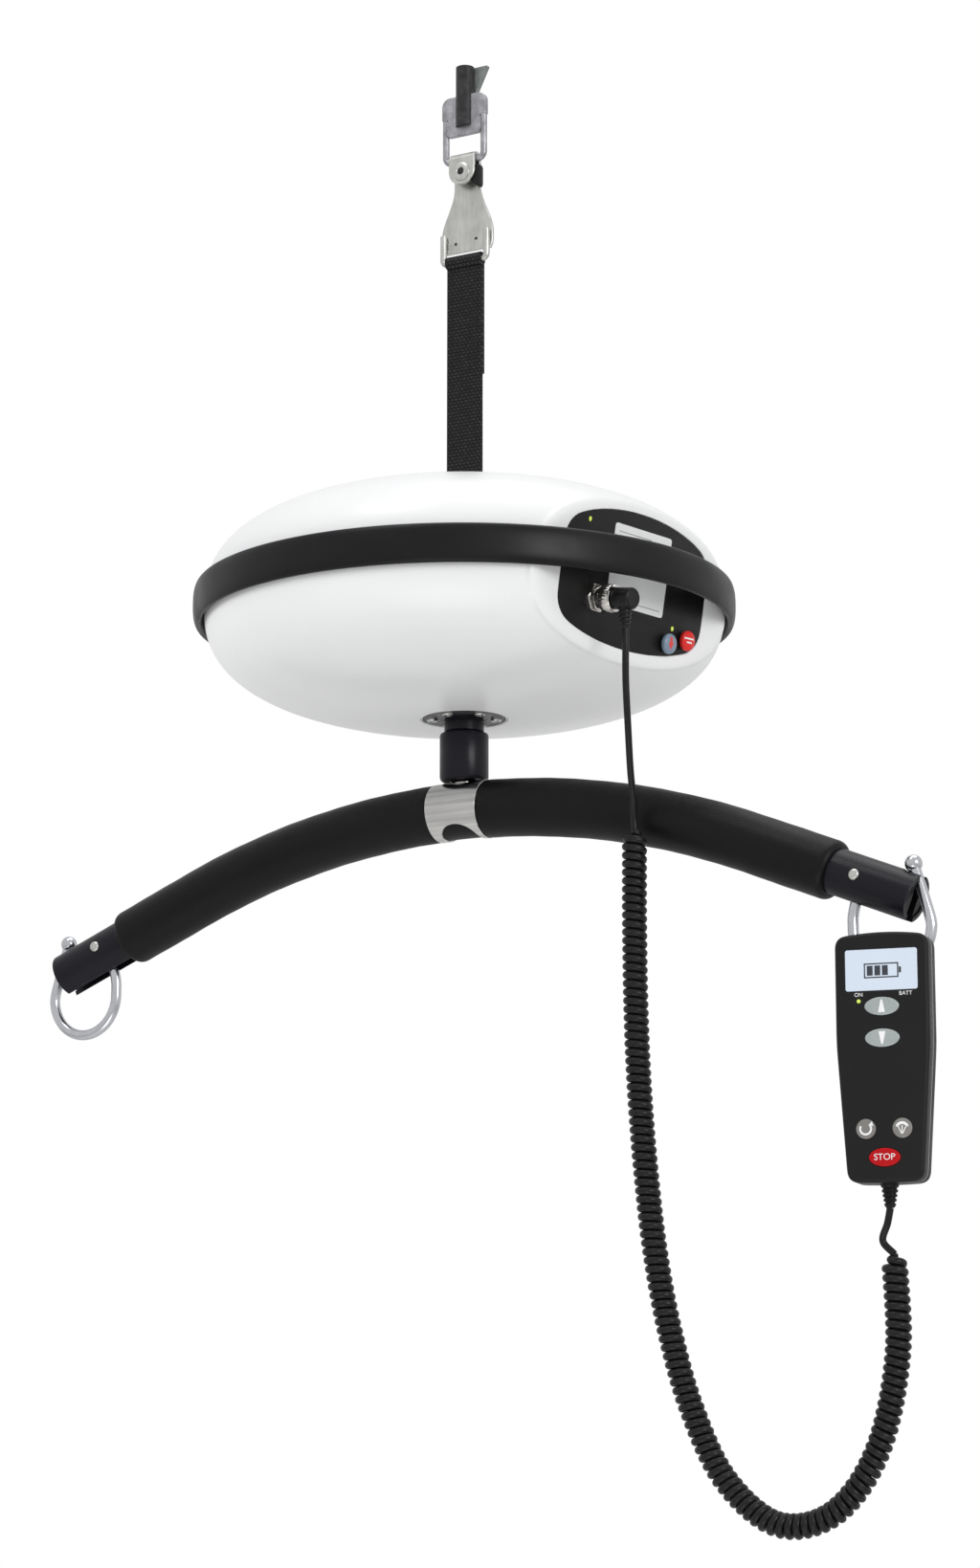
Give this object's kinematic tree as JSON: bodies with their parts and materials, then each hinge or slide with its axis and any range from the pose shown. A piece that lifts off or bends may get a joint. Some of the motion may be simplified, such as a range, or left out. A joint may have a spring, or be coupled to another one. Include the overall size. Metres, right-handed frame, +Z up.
{
  "type": "ceiling track hoist",
  "caption": "Strap-climbing patient hoist with a round shell, a bumper ring, a swivelling foam-covered spreader bar with sling loops, and a corded handset on a hanger hook.",
  "frame": {"origin": "centre of the hanger rod's top face, at the mouth of its tapped hole", "axes": "+Z up along the hanger rod, X along the spreader bar with the handset at +X, front towards -Y"},
  "size_m": [0.6702, 0.3566, 0.9781],
  "materials": {
    "dark_steel": "dark oiled steel",
    "gusset_grey": "grey painted plate",
    "bracket_steel": "satin zinc plate",
    "stainless": "satin stainless",
    "black_plastic": "moulded",
    "webbing": "woven webbing",
    "white_shell": "moulded, satin gloss",
    "black_rubber": "satin rubber",
    "panel_foil": "textured foil",
    "white_label": "plain plate",
    "lamp_green": "tinted lens",
    "plated_metal": "nickel plated",
    "zinc_steel": "zinc plated",
    "motor_paint": "painted",
    "battery_case": "moulded",
    "circuit_board": "lacquered",
    "black_paint": "powder coat",
    "drum_alloy": "turned",
    "red_button": "moulded",
    "blue_button": "moulded",
    "brushed_band": "brushed stainless",
    "black_foam": "closed cell foam",
    "loop_steel": "polished rod",
    "handset_case": "fine grain",
    "display": "lit window",
    "silver_key": "silver key",
    "grey_key": "grey key",
    "cord_jacket": "smooth jacket"
  },
  "bodies": {
    "hanger": {"hanger_rod": "dark_steel", "hanger_gusset": "gusset_grey", "hanger_plate": "bracket_steel", "hanger_loop": "stainless"},
    "hook": {"hook_plate": "stainless", "hook_rivet": "stainless", "strap_bar": "stainless", "lift_strap": "webbing"},
    "latch": {"safety_latch": "black_plastic"},
    "hoist": {"upper_shell": "white_shell", "lower_shell": "white_shell", "bumper_ring": "black_rubber", "panel_bezel": "white_shell", "control_panel": "panel_foil", "label_plate": "white_label", "panel_lamps": "lamp_green", "panel_socket": "plated_metal", "strap_guide": "black_plastic", "chassis": "zinc_steel", "gear_motor": "motor_paint", "drum_bearing": "stainless", "battery_pack": "battery_case", "control_board": "circuit_board", "limit_switch": "black_plastic", "swivel_flange": "black_paint", "flange_screws": "stainless", "plug_body": "black_plastic", "coupling_ring": "plated_metal", "cord_upper": "cord_jacket"},
    "drum": {"drum": "drum_alloy", "strap_roll": "webbing"},
    "emergency_stop": {"emergency_stop": "red_button"},
    "lowering_button": {"lowering_button": "blue_button"},
    "spreader": {"swivel_sleeve": "black_paint", "swivel_pin": "stainless", "centre_band": "brushed_band", "bar_tube": "black_paint", "foam_left": "black_foam", "foam_right": "black_foam", "end_plug_left": "black_plastic", "end_plug_right": "black_plastic", "loop_rivets": "stainless"},
    "loop_left": {"sling_loop_left": "loop_steel"},
    "loop_right": {"sling_loop_right": "loop_steel"},
    "handset": {"handset_front": "handset_case", "handset_rear": "handset_case", "display_lens": "display", "handset_lamp": "lamp_green", "handset_board": "circuit_board", "handset_clip": "black_plastic", "handset_screws": "stainless", "handset_gland": "black_rubber", "curly_cord": "cord_jacket", "cord_lower": "cord_jacket"},
    "up_button": {"up_button": "silver_key"},
    "down_button": {"down_button": "silver_key"},
    "return_button": {"return_button": "grey_key"},
    "descend_button": {"descend_button": "grey_key"},
    "stop_button": {"stop_button": "red_button"}
  },
  "joints": [
    {"name": "hook_swing", "type": "hinge", "parent": "hanger", "child": "hook", "pos_m": [0, 0, -0.06625], "axis": [1, 0, 0], "range_deg": [-25, 25]},
    {"name": "latch_turn", "type": "hinge", "parent": "hook", "child": "latch", "pos_m": [0, 0, -0.07525], "axis": [0, 1, 0], "range_deg": [0, 45], "stiffness_Nm_per_rad": 0.02, "springref_deg": -28.65},
    {"name": "lift", "type": "slide", "parent": "hook", "child": "hoist", "axis": [0, 0, 1], "range_m": [-1.8, 0.12], "deforming": ["lift_strap"]},
    {"name": "drum_spin", "type": "hinge", "parent": "hoist", "child": "drum", "pos_m": [0, 0.0436, -0.384], "axis": [1, 0, 0], "range_deg": [-2450, 200]},
    {"name": "emergency_stop_press", "type": "slide", "parent": "hoist", "child": "emergency_stop", "axis": [-0.9698, 0.171, 0.1736], "range_m": [0, 0.0015], "stiffness_N_per_m": 900, "springref_m": -0.001},
    {"name": "lowering_button_press", "type": "slide", "parent": "hoist", "child": "lowering_button", "axis": [-0.9698, 0.171, 0.1736], "range_m": [0, 0.0015], "stiffness_N_per_m": 900, "springref_m": -0.001},
    {"name": "bar_swivel", "type": "hinge", "parent": "hoist", "child": "spreader", "pos_m": [0, 0, -0.478], "axis": [0, 0, 1], "range_deg": [-90, 90], "deforming": ["cord_upper", "curly_cord", "cord_lower"]},
    {"name": "loop_left_swing", "type": "hinge", "parent": "spreader", "child": "loop_left", "pos_m": [-0.28488, 0, -0.58172], "axis": [0, 1, 0], "range_deg": [0, 60]},
    {"name": "loop_right_swing", "type": "hinge", "parent": "spreader", "child": "loop_right", "pos_m": [0.28488, 0, -0.58172], "axis": [0, -1, 0], "range_deg": [0, 20], "deforming": ["curly_cord"]},
    {"name": "handset_hang", "type": "slide", "parent": "spreader", "child": "handset", "axis": [0.7732, 0, 0.6342], "range_m": [0, 0.01295], "deforming": ["curly_cord"]},
    {"name": "up_button_press", "type": "slide", "parent": "handset", "child": "up_button", "axis": [-0.2079, 0.9781, 0], "range_m": [0, 0.0015], "stiffness_N_per_m": 900, "springref_m": -0.001},
    {"name": "down_button_press", "type": "slide", "parent": "handset", "child": "down_button", "axis": [-0.2079, 0.9781, 0], "range_m": [0, 0.0015], "stiffness_N_per_m": 900, "springref_m": -0.001},
    {"name": "return_button_press", "type": "slide", "parent": "handset", "child": "return_button", "axis": [-0.2079, 0.9781, 0], "range_m": [0, 0.0015], "stiffness_N_per_m": 900, "springref_m": -0.001},
    {"name": "descend_button_press", "type": "slide", "parent": "handset", "child": "descend_button", "axis": [-0.2079, 0.9781, 0], "range_m": [0, 0.0015], "stiffness_N_per_m": 900, "springref_m": -0.001},
    {"name": "stop_button_press", "type": "slide", "parent": "handset", "child": "stop_button", "axis": [-0.2079, 0.9781, 0], "range_m": [0, 0.0015], "stiffness_N_per_m": 900, "springref_m": -0.001}
  ],
  "couplings": [
    {"joint": "drum_spin", "follows": "lift", "rad_per_m": 23.202},
    {"joint": "handset_hang", "follows": "loop_right_swing", "m_per_rad": 0.036529}
  ]
}
